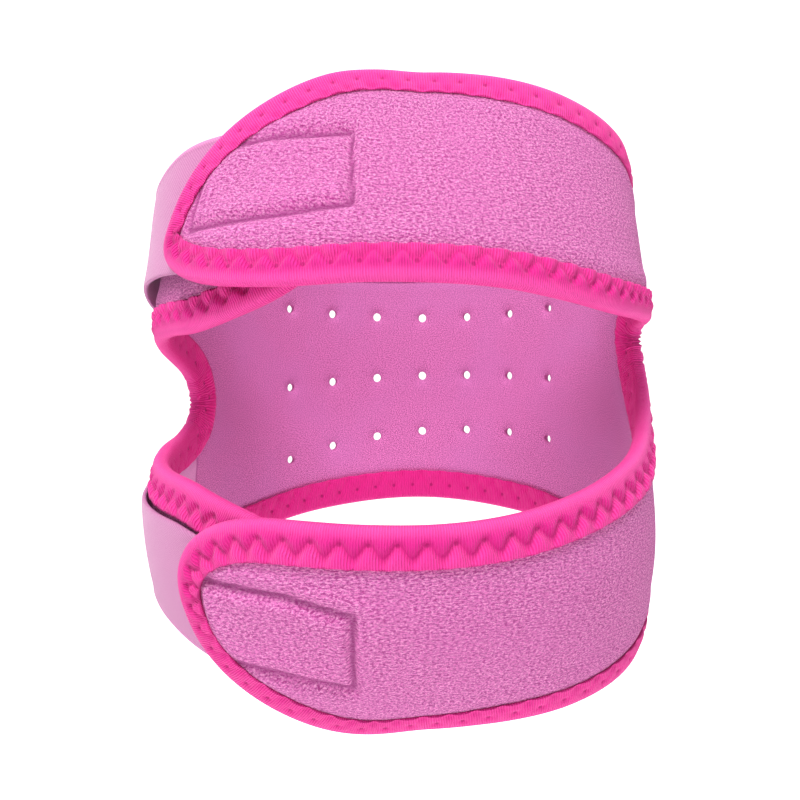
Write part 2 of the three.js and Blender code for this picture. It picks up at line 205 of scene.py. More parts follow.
def edge_height(name, turn, is_outer):
    """A strap's outer or opening edge, drawn in toward its middle where its two ends round off."""
    strap = straps[name]
    raw = (through(outer_edge, "turn", name, turn) * reach[name] if is_outer
           else through(opening_edge, "turn", name, turn) * opening[name])
    start = strap["outer_start"] if is_outer else strap["inner_start"]
    power = outer_round if is_outer else inner_round
    at_tip = np.where(turn < 90, rounding(turn, start, strap["tip"], power), 1)
    tipped = strap["middle"] + (raw - strap["middle"]) * at_tip
    end_middle = strap["middle"] + arm_shift
    at_end = end_middle + (tipped - end_middle) * rounding(turn, round_start, arm_end, inner_round)
    return strap["side"] * np.where(turn > 270, at_end, tipped)


print("outer edges at the front", [round(float(edge_height(name, 0.0, True)), 1) for name in straps])

# %% [markdown]
# ## Camera, floor and light
#
# The photograph looks almost straight at the front, from about 29 cm away, a little from the right and
# a little from above. A camera on a sphere round the origin, turned to face it, needs only a distance and
# two angles. The strap hangs free of the floor, because the leg that holds it is left out. A floor that
# curves up behind it keeps the ground plain and pale. One light stands high in front, so that folds and
# seams throw soft shadows down, and three weak ones fill the inside.

# %% Camera
distance, turn_right, tilt_up = 0.287, np.radians(6.6), np.radians(3.0)
lens_millimetres = 52.2
camera = bpy.data.objects.new("camera", bpy.data.cameras.new("camera"))
camera.data.lens = lens_millimetres
camera.location = distance * Vector((np.sin(turn_right) * np.cos(tilt_up),
                                     -np.cos(turn_right) * np.cos(tilt_up), np.sin(tilt_up)))
camera.rotation_euler = (-camera.location).to_track_quat("-Z", "Y").to_euler()
camera.data.clip_start = 0.01
bpy.context.collection.objects.link(camera)
bpy.context.scene.camera = camera
print("camera at", [round(value, 4) for value in camera.location])

# %% Light
def soft_light(name, at, size, power):
    """A square lamp of a size in metres and a power in watts, turned to face the strap."""
    lamp = bpy.data.objects.new(name, bpy.data.lights.new(name, "AREA"))
    lamp.data.size = size
    lamp.data.energy = power
    lamp.location = at
    lamp.rotation_euler = (-Vector(at)).to_track_quat("-Z", "Y").to_euler()
    bpy.context.collection.objects.link(lamp)


soft_light("top_light", (-0.1, -0.6, 0.85), 0.3, 12.5)
soft_light("front_left", (-0.7, -0.9, 0.3), 0.6, 1.3)
soft_light("front_right", (0.8, -0.8, 0.25), 0.6, 1.3)
soft_light("top_fill", (0.0, 0.15, 1.0), 0.5, 5.0)
sky_strength = 0.45
world = bpy.data.worlds.new("studio")
world.use_nodes = True
sky = world.node_tree.nodes["Background"]
sky.inputs["Color"].default_value = (1, 1, 1, 1)
sky.inputs["Strength"].default_value = sky_strength
bpy.context.scene.world = world
bpy.context.scene.view_settings.view_transform = "Standard"

# %% [markdown]
# ## From numbers to meshes
#
# Each piece starts as a net of places on the band. A net becomes a wall with two faces, closed round
# every free edge. One helper does that for the band and the tabs, and another puts arrays into a mesh.
# Each point keeps its place on the cloth, along, across and through, as an attribute in millimetres, so
# weave and ribs can follow the cloth whatever way it bends.

# %% Helpers for nets and meshes
def grid_faces(numbers):
    """Every cell of a grid of point numbers, as a quad that turns the same way as the net's axes."""
    cells = [numbers[:-1, :-1], numbers[1:, :-1], numbers[1:, 1:], numbers[:-1, 1:]]
    return np.stack(cells, -1).reshape(-1, 4)


def wall_faces(faces, count):
    """A net doubled: its faces, the same faces turned over on the second layer, and a side under each
    edge that only one face has."""
    starts, ends = faces.ravel(), np.roll(faces, -1, axis=1).ravel()
    single = ~np.isin(starts * count + ends, ends * count + starts)
    starts, ends = starts[single], ends[single]
    sides = np.stack([starts, starts + count, ends + count, ends], -1)
    return faces, faces[:, ::-1] + count, sides


def make_piece(name, points, faces, finishes, laid, finish_of_face=None, marks=None):
    """Points in millimetres and quads put into a mesh in metres, smooth, with their places on the cloth.

    Marks are more numbers for each point, such as how near it is to a seam."""
    mesh = bpy.data.meshes.new(name)
    mesh.from_pydata((points / 1000).tolist(), [], faces.tolist())
    for finish in finishes:
        mesh.materials.append(finish)
    mesh.polygons.foreach_set("use_smooth", np.ones(len(faces), bool))
    if finish_of_face is not None:
        mesh.polygons.foreach_set("material_index", finish_of_face.astype(np.int32))
    mesh.attributes.new("laid", "FLOAT_VECTOR", "POINT").data.foreach_set("vector", laid.ravel())
    for mark, values in (marks or {}).items():
        mesh.attributes.new(mark, "FLOAT", "POINT").data.foreach_set("value", values.astype(np.float32))
    mesh.update()
    piece = bpy.data.objects.new(name, mesh)
    bpy.context.collection.objects.link(piece)
    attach(piece, "root")
    print(name, len(points), "points", 2 * len(faces), "triangles")
    return piece


print("helpers for nets and meshes ready")

# %% [markdown]
# ## Materials as sums
#
# Cloth looks right when its colour and its relief come from one pattern: a loop is pale on top and its
# shadow is dark beside it. Patterns are easier to read as sums than as a web of nodes, so a small class
# stands for one value in a material and turns each operator into a Math node.

# %% The value class
class Value:
    """One number that varies over a surface. Sums and products of values add Math nodes."""

    def __init__(self, finish, socket):
        self.finish, self.socket = finish, socket

    def apply(self, operation, *others):
        """A Math node of this operation on this value and any others."""
        return self.finish.node("Math", {"operation": operation}, dict(enumerate((self, *others))))

    def __add__(self, other):
        return self.apply("ADD", other)

    def __sub__(self, other):
        return self.apply("SUBTRACT", other)

    def __rsub__(self, other):
        return self.finish.node("Math", {"operation": "SUBTRACT"}, {0: other, 1: self})

    def __mul__(self, other):
        return self.apply("MULTIPLY", other)

    def __truediv__(self, other):
        return self.apply("DIVIDE", other)

    def __abs__(self):
        return self.apply("ABSOLUTE")

    __radd__ = __add__
    __rmul__ = __mul__

    def ease(self, low, high):
        """Nothing below low, one above high, smooth between."""
        return self.finish.node("MapRange", {"interpolation_type": "SMOOTHSTEP"},
                                {"Value": self, "From Min": low, "From Max": high})


print("the value class is ready")

# %% The finish class
class Finish:
    """A Principled material, with one method for any other node."""

    def __init__(self, name, roughness, sheen=0.0, sheen_tint=(1, 1, 1, 1), specular=0.3):
        self.material = bpy.data.materials.new(name)
        self.material.use_nodes = True
        self.tree = self.material.node_tree
        self.shader = self.tree.nodes["Principled BSDF"]
        self.shader.inputs["Roughness"].default_value = roughness
        self.shader.inputs["Sheen Weight"].default_value = sheen
        self.shader.inputs["Sheen Roughness"].default_value = 0.5
        self.shader.inputs["Sheen Tint"].default_value = sheen_tint
        self.shader.inputs["Specular IOR Level"].default_value = specular

    def join(self, value, socket):
        """A link when it is a worked-out value, or else the number or colour itself."""
        if isinstance(value, Value):
            self.tree.links.new(value.socket, socket)
        else:
            socket.default_value = value

    def node(self, kind, settings=None, inputs=None, output=0):
        """Any node: its settings first, then the values or links of its sockets."""
        made = self.tree.nodes.new("ShaderNode" + kind)
        for key, value in (settings or {}).items():
            setattr(made, key, value)
        for key, value in (inputs or {}).items():
            self.join(value, made.inputs[key])
        return Value(self, made.outputs[output])

    def mark(self, name, output="Fac"):
        """A number, or with output Vector three of them, that each point of the mesh carries."""
        return self.node("Attribute", {"attribute_name": name}, output=output)

    def axis(self, vector, letter):
        """One number of a vector: X is along the cloth, Y across it and Z through it."""
        return self.node("SeparateXYZ", {}, {"Vector": vector}, output=letter)

    def noise(self, vector, stretch, scale, detail=2.0, rough=0.5):
        """Cloudy noise on a vector that is stretched first; scale is in spots for each millimetre."""
        pulled = self.node("VectorMath", {"operation": "MULTIPLY"}, {0: vector, 1: stretch})
        return self.node("TexNoise", {}, {"Vector": pulled, "Scale": scale, "Detail": detail,
                                          "Roughness": rough})

    def mix(self, share, first, second):
        """The first colour where the share is nought, the second where it is one."""
        return self.node("Mix", {"data_type": "RGBA", "clamp_result": True},
                         {0: share, 6: first, 7: second}, output=2)

    def relief(self, height, depth, strength):
        """A Bump node; height is from nought to one and depth is the full relief in millimetres."""
        return self.node("Bump", {}, {"Height": height, "Distance": depth / 1000, "Strength": strength})

    def wear(self, **sockets):
        """Values put on the shader's own sockets, and the material that has them."""
        for name, value in sockets.items():
            self.join(value, self.shader.inputs[name.replace("_", " ")])
        return self.material


print("the finish class is ready")

# %% [markdown]
# ## Brushed loop cloth, lining and foam
#
# The outer cloth is a knit whose loops are brushed up to catch the hooks. Close up it is rows of short
# strokes, with pale tufts and dark pits between them. Noise stretched along the rows gives all three, and
# clouds give the wear and the way the nap lies. The lining is a fine smooth jersey, almost plain, in a
# more purple pink. Foam shows only in the walls of the punched holes.

# %% Outer loop cloth
terry_pinks = {"shadow": (0.36, 0.04, 0.22, 1), "loop": (0.78, 0.19, 0.52, 1), "tuft": (1.0, 0.48, 0.78, 1),
               "pit": (0.44, 0.03, 0.24, 1), "worn": (0.68, 0.13, 0.45, 1)}
loop_row = 0.95


def loop_cloth():
    """Brushed loops: fibres, rows and tufts added up, less the pits, for both the tone and the relief."""
    cloth = Finish("loop_cloth", 0.95, sheen=0.3, sheen_tint=(1.0, 0.6, 0.85, 1), specular=0.1)
    laid = cloth.mark("laid", "Vector")
    across = cloth.axis(laid, "Y")
    drift = cloth.noise(laid, (0.5, 0.5, 0), 0.6, 2.0)
    rows_of_loops = ((across + drift * 0.5) * (2 * np.pi / loop_row)).apply("SINE") * 0.5 + 0.5
    fibre = cloth.noise(laid, (1.0, 2.0, 0), 1.45, 4.0, 0.75)
    pits = cloth.noise(laid, (0.8, 1.8, 0), 1.3, 2.0, 0.6).ease(0.51, 0.62)
    tufts = cloth.noise(laid, (0.9, 1.7, 0), 1.6, 3.0, 0.65).ease(0.50, 0.62)
    cloud = cloth.noise(laid, (1.0, 1.0, 0), 0.055, 2.0)
    nap = fibre.ease(0.36, 0.62) * 0.6 + rows_of_loops * 0.14 + tufts * 0.3 - pits * 0.45
    seam_shade = cloth.mark("seam_shade").ease(0.25, 0.95)
    tone = cloth.mix(nap.ease(-0.05, 0.6), terry_pinks["shadow"], terry_pinks["loop"])
    tone = cloth.mix(tufts * 0.6, tone, terry_pinks["tuft"])
    tone = cloth.mix(pits * 0.75, tone, terry_pinks["pit"])
    tone = cloth.mix(cloud.ease(0.35, 0.7) * 0.22, tone, terry_pinks["worn"])
    # Painted shade: the stitched seams of the hook patches are darkened as if their grooves were in shadow.
    tone = cloth.mix(seam_shade * 0.85, tone, terry_pinks["shadow"])
    return cloth.wear(Base_Color=tone, Normal=cloth.relief(nap, 0.3, 0.9))


terry = loop_cloth()
print("finish", terry.name)

# %% Lining, with a lighter facing past a seam
lining_pinks = {"shadow": (0.25, 0.04, 0.17, 1), "knit": (0.72, 0.205, 0.51, 1),
                "cloud": (0.48, 0.15, 0.42, 1), "facing": (0.68, 0.33, 0.56, 1),
                "seam": (0.33, 0.05, 0.22, 1)}
facing_turn = 257.8
facing_top = (-17, -15)


def lining_cloth():
    """Fine grain and slow clouds, and beyond a turn, below a height, a paler facing with a dark seam."""
    cloth = Finish("lining_jersey", 0.75, sheen=0.15, sheen_tint=(1.0, 0.75, 0.95, 1), specular=0.25)
    laid = cloth.mark("laid", "Vector")
    along, across = cloth.axis(laid, "X"), cloth.axis(laid, "Y")
    grain = cloth.noise(laid, (1.0, 1.4, 0), 3.4, 2.0, 0.7)
    cloud = cloth.noise(laid, (1.0, 1.0, 0), 0.05, 2.0)
    past_seam = along - facing_turn * arc
    below = 1 - across.ease(*facing_top)
    facing = past_seam.ease(-0.15, 0.15) * below
    seam = (1 - abs(past_seam).ease(0.15, 0.7)) * below
    tone = cloth.mix(grain.ease(0.41, 0.57), lining_pinks["shadow"], lining_pinks["knit"])
    tone = cloth.mix(cloud.ease(0.4, 0.7) * 0.25, tone, lining_pinks["cloud"])
    tone = cloth.mix(facing * 0.6, tone, lining_pinks["facing"])
    tone = cloth.mix(seam * 0.75, tone, lining_pinks["seam"])
    return cloth.wear(Base_Color=tone, Normal=cloth.relief(grain, 0.12, 0.6))


lining = lining_cloth()
print("finish", lining.name)

# %% Foam in the walls of the holes
def foam_core():
    """Coarse noise in all three directions, because the foam's cells are cut through there."""
    cloth = Finish("foam_core", 0.9, specular=0.2)
    cells = cloth.noise(cloth.mark("laid", "Vector"), (1.0, 1.0, 1.0), 2.5, 3.0, 0.7)
    tone = cloth.mix(cells.ease(0.3, 0.7), (0.35, 0.05, 0.22, 1), (0.62, 0.16, 0.42, 1))
    return cloth.wear(Base_Color=tone, Normal=cloth.relief(cells, 0.2, 0.6))


foam_finish = foam_core()
print("finish", foam_finish.name)

# %% [markdown]
# ## The bound edge
#
# Everything near an edge depends on where that edge runs, so it is drawn first: once round the whole
# die-cut outline, from arm to tip to notch and back, with points an even distance apart. At each one the
# step that leads a millimetre into the cloth is worked out from the surface's own directions.

# %% The outline, evenly spaced
def stations(name):
    """Turns that a strap is drawn at: close together at the rounded ends and at the notches."""
    quarter = np.linspace(0.985, 0, 74) * np.pi / 2
    tip = straps[name]["tip"] * np.sin(quarter)
    right = np.r_[1:94:1.0, 94:102:0.5, 102:106:0.25]
    panel = np.arange(right_notch, left_notch, 1.0)
    left = np.r_[256:259:0.25, 259:266:0.5, 266:328:1.0]
    end = round_start + (arm_end - round_start) * np.sin(quarter[::-3])
    return np.r_[tip, right, panel, left, end]


def run(name, is_outer, low=-90.0, high=360.0):
    """One edge of a strap between two turns, as rows of turn and height."""
    turn = stations(name)
    turn = np.unique(np.r_[turn, right_notch])
    turn = turn[(turn >= low) & (turn <= high)]
    return np.stack([turn, edge_height(name, turn, is_outer)], -1)


loop = np.concatenate([
    run("lower", True)[::-1], run("lower", False, high=right_notch),
    run("upper", False, high=right_notch - 0.1)[::-1], run("upper", True),
    run("upper", False, low=left_notch)[::-1], run("lower", False, low=left_notch + 0.1),
])
loop = np.concatenate([loop, loop[:1]])
walked = np.r_[0, np.cumsum(np.linalg.norm(np.diff(place(loop[:, 0], loop[:, 1], 0.0), axis=0), axis=1))]
rim_length = walked[-1]
rim_count, rounding_rounds = 2190, 6
rim_step = rim_length / rim_count
rim_along = np.arange(rim_count) * rim_step
rim = np.stack([np.interp(rim_along, walked, loop[:, axis]) for axis in (0, 1)], -1)
for _ in range(rounding_rounds):
    rim = rim * 0.5 + (np.roll(rim, 1, 0) + np.roll(rim, -1, 0)) * 0.25
print("the edge is", round(rim_length), "mm round,", round(rim_step, 3), "mm a step")


# %% The way into the cloth
def inward_steps(spots):
    """Changes of turn and height for each millimetre into the cloth.

    The way into the cloth is across the edge's direction within the surface; two equations give its
    shares of a turn and of a height."""
    neighbour, step = 4, 0.5
    here = place(spots[:, 0], spots[:, 1], 0.0)
    forward = np.roll(here, -neighbour, 0) - np.roll(here, neighbour, 0)
    round_way = (place(spots[:, 0] + step, spots[:, 1], 0.0) - here) / step
    up_way = (place(spots[:, 0], spots[:, 1] + step, 0.0) - here) / step
    inward = np.cross(forward, np.cross(round_way, up_way))
    inward /= np.linalg.norm(inward, axis=1, keepdims=True)
    rr, ru, uu = (round_way**2).sum(1), (round_way * up_way).sum(1), (up_way**2).sum(1)
    ir, iu = (inward * round_way).sum(1), (inward * up_way).sum(1)
    determinant = rr * uu - ru * ru
    return np.stack([(ir * uu - iu * ru) / determinant, (iu * rr - ir * ru) / determinant], -1)


steps = inward_steps(rim)
print("the steps into the cloth are about", round(float(np.abs(steps[:, 1]).mean()), 2), "mm up or down")

# %% Distance to the edge
def from_rim(turn, height):
    """Distance in space to the nearest point of the edge on the same layer.

    It is the least root of summed squares, worked out for a batch of places at a time to save memory.
    Edge points more than a sixth of the way round are on another layer, and don't count."""
    batch, layer_turns, far_off = 1500, 60, 1e6
    edge_turn, edge_up = rim[::2, 0], rim[::2, 1]
    spots, edge = place(turn, height, 0.0), place(edge_turn, edge_up, 0.0)
    found = np.empty(len(spots))
    for start in range(0, len(spots), batch):
        part = slice(start, start + batch)
        gap_squared = ((spots[part, None] - edge[None]) ** 2).sum(-1)
        other_layer = np.abs(turn[part, None] - edge_turn[None]) > layer_turns
        found[part] = np.sqrt(np.where(other_layer, far_off, gap_squared).min(1))
    return found


print("three millimetres in, the edge is", np.round(from_rim(*(rim + 3 * steps)[:1].T), 1), "mm away")

# %% [markdown]
# ## The band
#
# The band is one closed piece: brushed cloth outside, lining inside, foam between. Its net has columns
# from edge to edge, and round each punched hole a patch of rings takes the place of a square of cells,
# because a round hole cut straight into a square net has a ragged rim. The relief is what sewing does:
# the tape pinches the foam at the edge, a stitched line sinks and the cloth swells beside it, and each
# hole has a shallow dimple that the punch left.

# %% Net of the band, with its holes
rows = 50


def band_net():
    """Turns, heights and quads of the whole die-cut sheet, both straps joined along the rear panel."""
    turns, heights, numbers, count = [], [], {}, 0
    for name in straps:
        turn = stations(name)
        in_panel = (turn >= right_notch) & (turn <= left_notch)
        share = (turn - right_notch) / (left_notch - right_notch)
        parting = edge_height("upper", np.array(right_notch), False) * (1 - share)
        parting = parting + edge_height("upper", np.array(left_notch), False) * share
        near = np.where(in_panel, parting, edge_height(name, turn, False))
        far = edge_height(name, turn, True)
        low, high = np.minimum(near, far)[:, None], np.maximum(near, far)[:, None]
        across = np.linspace(0, 1, rows + 1)[None]
        turns.append(np.repeat(turn[:, None], rows + 1, 1))
        heights.append(low + (high - low) * across)
        numbers[name] = count + np.arange(len(turn) * (rows + 1)).reshape(len(turn), rows + 1)
        count += len(turn) * (rows + 1)
    column = stations("upper")
    panel = (column >= right_notch) & (column <= left_notch)
    numbers["upper"][panel, 0] = numbers["lower"][panel, -1]
    first, last = np.flatnonzero(panel)[[0, -1]]
    faces = [grid_faces(numbers[name][part]) for name in straps
             for part in (slice(0, first + 1), slice(last, None))]
    whole = np.concatenate([numbers["lower"][first:last + 1], numbers["upper"][first:last + 1, 1:]], 1)
    turn, height = np.concatenate([t.ravel() for t in turns]), np.concatenate([h.ravel() for h in heights])
    return turn, height, faces, whole


print(rows, "rows of cells between two edges")

# %% Holes punched through the net
hole_radius = 1.2
hole_pitch = 13.1
hole_rows = [dict(height=21.2, ends=2.5, tilt=0.0), dict(height=4.2, ends=-1.6, tilt=-1.5),
             dict(height=-12.2, ends=-4.2, tilt=-3.4)]
hole_spots = [(180 + end * 3 * np.degrees(hole_pitch / (leg_radius - foam)),
               row["height"] + row["ends"] * end**2 + row["tilt"] * end)
              for end in np.linspace(-1, 1, 7) for row in hole_rows]


def punch_holes(turn, height, faces, panel):
    """Each hole's square of cells becomes rings, from the hole's circle out to the square's own points.

    A ring's point is on the line from the hole's middle to a point of the square, a share of the way."""
    keep = np.ones((panel.shape[0] - 1, panel.shape[1] - 1), bool)
    growth = np.array([0, 0.07, 0.17, 0.3, 0.46, 0.7])
    for hole_turn, hole_height in hole_spots:
        i = int(np.argmin(np.abs(turn[panel[:, 0]] - hole_turn)))
        k = int(np.argmin(np.abs(height[panel[i]] - hole_height)))
        block = panel[i - 3:i + 4, k - 3:k + 4]
        keep[i - 3:i + 3, k - 3:k + 3] = False
        border = np.r_[block[:-1, 0], block[-1, :-1], block[:0:-1, -1], block[0, :0:-1]]
        x, y = (turn[border] - hole_turn) * arc, height[border] - hole_height
        radius, angle = np.hypot(x, y), np.arctan2(y, x)
        ring = hole_radius + (radius - hole_radius) * growth[:, None]
        start = len(turn)
        turn = np.r_[turn, (hole_turn + ring * np.cos(angle) / arc).ravel()]
        height = np.r_[height, (hole_height + ring * np.sin(angle)).ravel()]
        rings = np.r_[start + np.arange(ring.size).reshape(ring.shape), border[None]]
        rings = np.c_[rings, rings[:, :1]]
        faces.append(grid_faces(rings))
    cells = grid_faces(panel).reshape(*keep.shape, 4)[keep]
    faces.append(cells)
    return turn, height, np.concatenate(faces)


turn, height, faces = punch_holes(*band_net())
used, faces = np.unique(faces, return_inverse=True)
turn, height, faces = turn[used], height[used], faces.reshape(-1, 4)
print("net of the band:", len(turn), "places,", len(faces), "quads")

# %% Relief of the band
tape_width = 7.2
pinch = 0.8
swell_height, swell_beyond, swell_width = 0.35, 2.2, 1.8
dimple_depth, dimple_width, dimple_inside = 1.15, 1.9, 0.85
seam_depth, seam_width = 1.3, 1.0
ridge_height, ridge_beyond, ridge_width = 0.45, 2.8, 1.7
unevenness = 0.16
patch_seams = {
    "upper": [(-44.5, 52.5), (-27, 55.3), (-7, 57.3), (-4.1, 42), (-21.2, 38.8), (-42.5, 36.0),
              (-44.5, 52.5)],
    "lower": [(-34.5, -33), (-16, -35.8), (-2.8, -40.3), (-5, -57.6), (-22.8, -52.8), (-37, -49.5),
              (-34.5, -33)],
}
print("seams of the hook patches have", len(patch_seams["upper"]) - 1, "corners each")


def from_line(turn, height, corners):
    """Least distance on the unrolled band to the stretches between one corner and the next."""
    spots = np.stack([turn * arc, height], -1)
    corners = np.array(corners, float) * (arc, 1)
    best = np.full(len(spots), 1e3)
    for start, end in zip(corners[:-1], corners[1:]):
        way = end - start
        share = np.clip((spots - start) @ way / (way @ way), 0, 1)
        best = np.minimum(best, np.linalg.norm(spots - start - share[:, None] * way, axis=1))
    return best


def slow_waves(turn, height, size):
    """A few long sine waves added up, for cloth that isn't quite even."""
    x, y = turn * arc, height
    waves = np.sin(x / 7.3 + 0.8 * np.sin(y / 9)) + 0.7 * np.sin(y / 5.1 + x / 17) + np.sin(x / 13 - y / 8)
    return size * waves / 3


# %% Relief of the band, added up
rim_gap = from_rim(turn, height)
near_hole = np.min([np.hypot((turn - t) * arc, height - h) for t, h in hole_spots], axis=0)
edge_pinch = pinch * np.clip(1 - rim_gap / tape_width, 0, None)
swell = swell_height * bell(rim_gap - tape_width - swell_beyond, swell_width)
dimple = dimple_depth * bell(near_hole, dimple_width)
seam_sink, seam_shade = np.zeros(len(turn)), np.zeros(len(turn))
for name, corners in patch_seams.items():
    seam_gap = from_line(turn, height, corners)
    here = (turn < 10) * (np.sign(height) == straps[name]["side"])
    ridge = ridge_height * bell(seam_gap - ridge_beyond, ridge_width)
    seam_sink += (ridge - seam_depth * bell(seam_gap, seam_width)) * here
    # How near a patch seam is. The loop cloth uses it for painted shade in the seam's groove.
    seam_shade += bell(seam_gap, 0.8) * here
seam_sink *= ease(rim_gap, tape_width - 1.5, tape_width + 1)
uneven = slow_waves(turn, height, unevenness) * (rim_gap > 1)
outer = -edge_pinch + swell - dimple + seam_sink + uneven
inner = -foam + edge_pinch - swell * 0.5 + dimple * dimple_inside
print("relief from", round(float(outer.min()), 2), "to", round(float(outer.max()), 2), "mm")

# %% Make the band
top, bottom, sides = wall_faces(faces, len(turn))
band = make_piece(
    "foam_band",
    np.concatenate([place(turn, height, outer), place(turn, height, inner)]),
    np.concatenate([top, bottom, sides]),
    [terry, lining, foam_finish],
    np.concatenate([np.stack([turn * arc, height, face], -1) for face in (outer, inner)]),
    finish_of_face=np.repeat([0, 1, 2], [len(top), len(bottom), len(sides)]),
    marks={"seam_shade": np.r_[seam_shade, seam_shade * 0]},
)
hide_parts("body")

# %% [markdown]
# ## Knit tape
#
# The tape is a ribbed knit, folded over the raw edge and sewn down with a zigzag. The thread pulls the
# tape down along its line and leaves it puffed on both sides, which reads as a row of rounded teeth.
# Where the edge turns a notch the tape has too much length, so it gathers in folds. A profile carried
# along the edge gives the fold, and the relief is added along the profile's own outward direction.

# %% The tape's pattern
teeth = round(rim_length / 5.75)
pitch = rim_length / teeth
line_near, line_far = 2.9, 5.9
curved, straight_part = 0.7, 0.3


def line_at(along):
    """Depth of the zigzag at a place along the edge: mostly a cosine, partly straight slopes."""
    wave = 0.5 + 0.5 * np.cos(2 * np.pi * along / pitch)
    wave = curved * wave + straight_part * np.abs((along / pitch) % 1 * 2 - 1)
    return line_near + (line_far - line_near) * wave


def zigzag_gap(along, deep):
    """Distance to the zigzag: how far off its sloping line a place is, by the slope's cosine."""
    slope = (line_far - line_near) * 2 / pitch
    return np.abs(deep - line_at(along)) / np.hypot(1, slope)


def needle_gap(along, deep):
    """Distance to the nearest needle hole, at the corners of the zigzag."""
    near = np.hypot(((along / pitch + 0.5) % 1 - 0.5) * pitch, deep - line_far)
    far = np.hypot(((along / pitch) % 1 - 0.5) * pitch, deep - line_near)
    return np.minimum(near, far)


print("teeth", teeth, "of", round(pitch, 2), "mm")

# %% Where the teeth are deep, and where the tape's outer leg is wide
leg_width, lower_opening_more = 6.3, 1.2
outer_line_less = 0.8
panel_outer_from = 20
blur_rounds = 400
in_panel = (rim[:, 0] > right_notch) & (rim[:, 0] < left_notch)
strap_middle = np.where(rim[:, 1] > 0, straps["upper"]["middle"], straps["lower"]["middle"])
on_outer = np.abs(rim[:, 1]) > np.where(in_panel, panel_outer_from, strap_middle)
on_lower_opening = (rim[:, 1] < -1) & ~on_outer
labels = np.stack([leg_width + lower_opening_more * on_lower_opening, 1 - outer_line_less * on_outer], -1)
for _ in range(blur_rounds):
    labels = labels * 0.5 + (np.roll(labels, 1, 0) + np.roll(labels, -1, 0)) * 0.25
outer_leg, line_depth = labels[:, :1], labels[:, 1:]
print("outer leg from", round(outer_leg.min(), 2), "to", round(outer_leg.max(), 2), "mm wide")

# %% The tape's section
leg_out = np.linspace(1, 0, 15)
fold = np.linspace(90, -90, 10)[1:-1]
leg_in = np.linspace(0, 1, 10)
fold_at, fold_size = 0.9, 1.95
puff, raw_edge_thinner, raw_edge_width = 1.05, 0.5, 2.0


def tape_section(along):
    """Depth into the cloth, height over its face, and the outward way of the relief, ring by ring.

    Each leg runs straight from the fold to its raw edge, where it thins by an eased step; the fold is
    half a circle between them. The way is the leg's normal, or the circle's radius."""
    wave = np.cos(2 * np.pi * along / pitch)[:, None]
    outer_end, inner_end = outer_leg + 0.12 * wave, tape_width + 0.1 * wave

    def leg(share, end):
        return fold_at + (end - fold_at) * share

    def lift(deep, end):
        pinched = pinch * np.clip(1 - deep / tape_width, 0, 1)
        return puff - raw_edge_thinner * ease(deep, end - raw_edge_width, end) - pinched

    deep_out, deep_in = leg(leg_out[None], outer_end), leg(leg_in[None], inner_end)
    turned = np.repeat(np.radians(fold)[None], len(along), 0)
    fold_high = -foam / 2 + fold_size * np.sin(turned)
    deep = np.concatenate([deep_out, fold_at - fold_size * np.cos(turned), deep_in], 1)
    high = np.concatenate([lift(deep_out, outer_end), fold_high, -foam - lift(deep_in, inner_end)], 1)
    side = np.concatenate([np.ones_like(deep_out), np.sin(turned), -np.ones_like(deep_in)], 1)
    back = np.concatenate([np.zeros_like(deep_out), -np.cos(turned), np.zeros_like(deep_in)], 1)
    return deep, high, side, back


def gathers(along, notch_along):
    """Folds of uneven spacing that fade within a centimetre or so of a notch.

    A sine whose own argument sways; one less its size, to a power, is sharp on the crests only."""
    away = along - notch_along
    wave = np.sin(away * 1.7 + 1.5 * np.sin(away * 0.7))
    return bell(away, 8.5) * (1 - np.abs(wave)) ** 1.5


deep, high, side, back = tape_section(rim_along)
outside, inside = side > 0.99, side < -0.99
print("points round the section", deep.shape[1])

# %% Zigzag, needle holes and gathers
notches = [dict(turn=right_notch, height=15.1, gather=1.3), dict(turn=left_notch, height=-1.9, gather=0.7)]
groove_depth, groove_level, groove_width = 1.45, 0.64, 1.05
needle_depth, needle_width = 0.4, 0.65
lobe_height = 0.2
along = rim_along[:, None] * np.ones_like(deep)
groove = 1 - bell(zigzag_gap(along, deep), groove_width)
needle = bell(needle_gap(along, deep), needle_width)
lobe = ease(deep - line_at(along), 0.3, 1.6)
near_line = ease(deep, 1.2, 2.9)
outer_relief = line_depth * (groove_depth * (groove - groove_level) + lobe_height * lobe)
outer_relief = outer_relief - needle_depth * needle
inner_relief = 0.35 * (groove - 0.55) - 0.5 * needle
relief = np.where(outside, near_line * outer_relief, 0.0) + np.where(inside, near_line * inner_relief, 0.0)
for notch in notches:
    off_notch = np.abs(rim[:, 0] - notch["turn"]) + 0.05 * np.abs(rim[:, 1] - notch["height"])
    notch["along"] = rim_along[np.argmin(off_notch)]
puckers = sum(notch["gather"] * gathers(along, notch["along"]) for notch in notches)
relief = relief - puckers * (0.3 + 0.45 * (1 - near_line))
high, deep = high + relief * side, deep + relief * back
print("notches at", [round(notch["along"]) for notch in notches], "mm along the edge")

# %% Keep the tape off the cloth, and close its section inside the cloth
least_gap, pressed_in, tucked = 0.3, 0.1, 0.3
cloth_face = -pinch * np.clip(1 - deep / tape_width, 0, 1)
high = np.where(outside, np.maximum(high, cloth_face + least_gap), high)
high = np.where(inside, np.minimum(high, -foam - cloth_face - least_gap), high)
outer_tuck = outer_leg - tucked
outer_tuck_high = -pressed_in - pinch * (1 - outer_tuck / tape_width)
hidden_deep = [tape_width - tucked, -0.25, -0.25, outer_tuck]
hidden_high = [-foam + pressed_in, -foam - pressed_in + pinch, pressed_in - pinch, outer_tuck_high]
ones = np.ones((rim_count, 1))
deep = np.concatenate([deep] + [ones * value for value in hidden_deep], 1)
high = np.concatenate([high] + [ones * value for value in hidden_high], 1)
tape_turn = rim[:, :1] + steps[:, :1] * deep
tape_height = rim[:, 1:] + steps[:, 1:] * deep
numbers = np.arange(deep.size).reshape(deep.shape)
numbers = np.c_[numbers, numbers[:, :1]]
numbers = np.r_[numbers, numbers[:1]]
laid = np.stack([rim_along[:, None] * np.ones_like(deep), deep, high], -1)
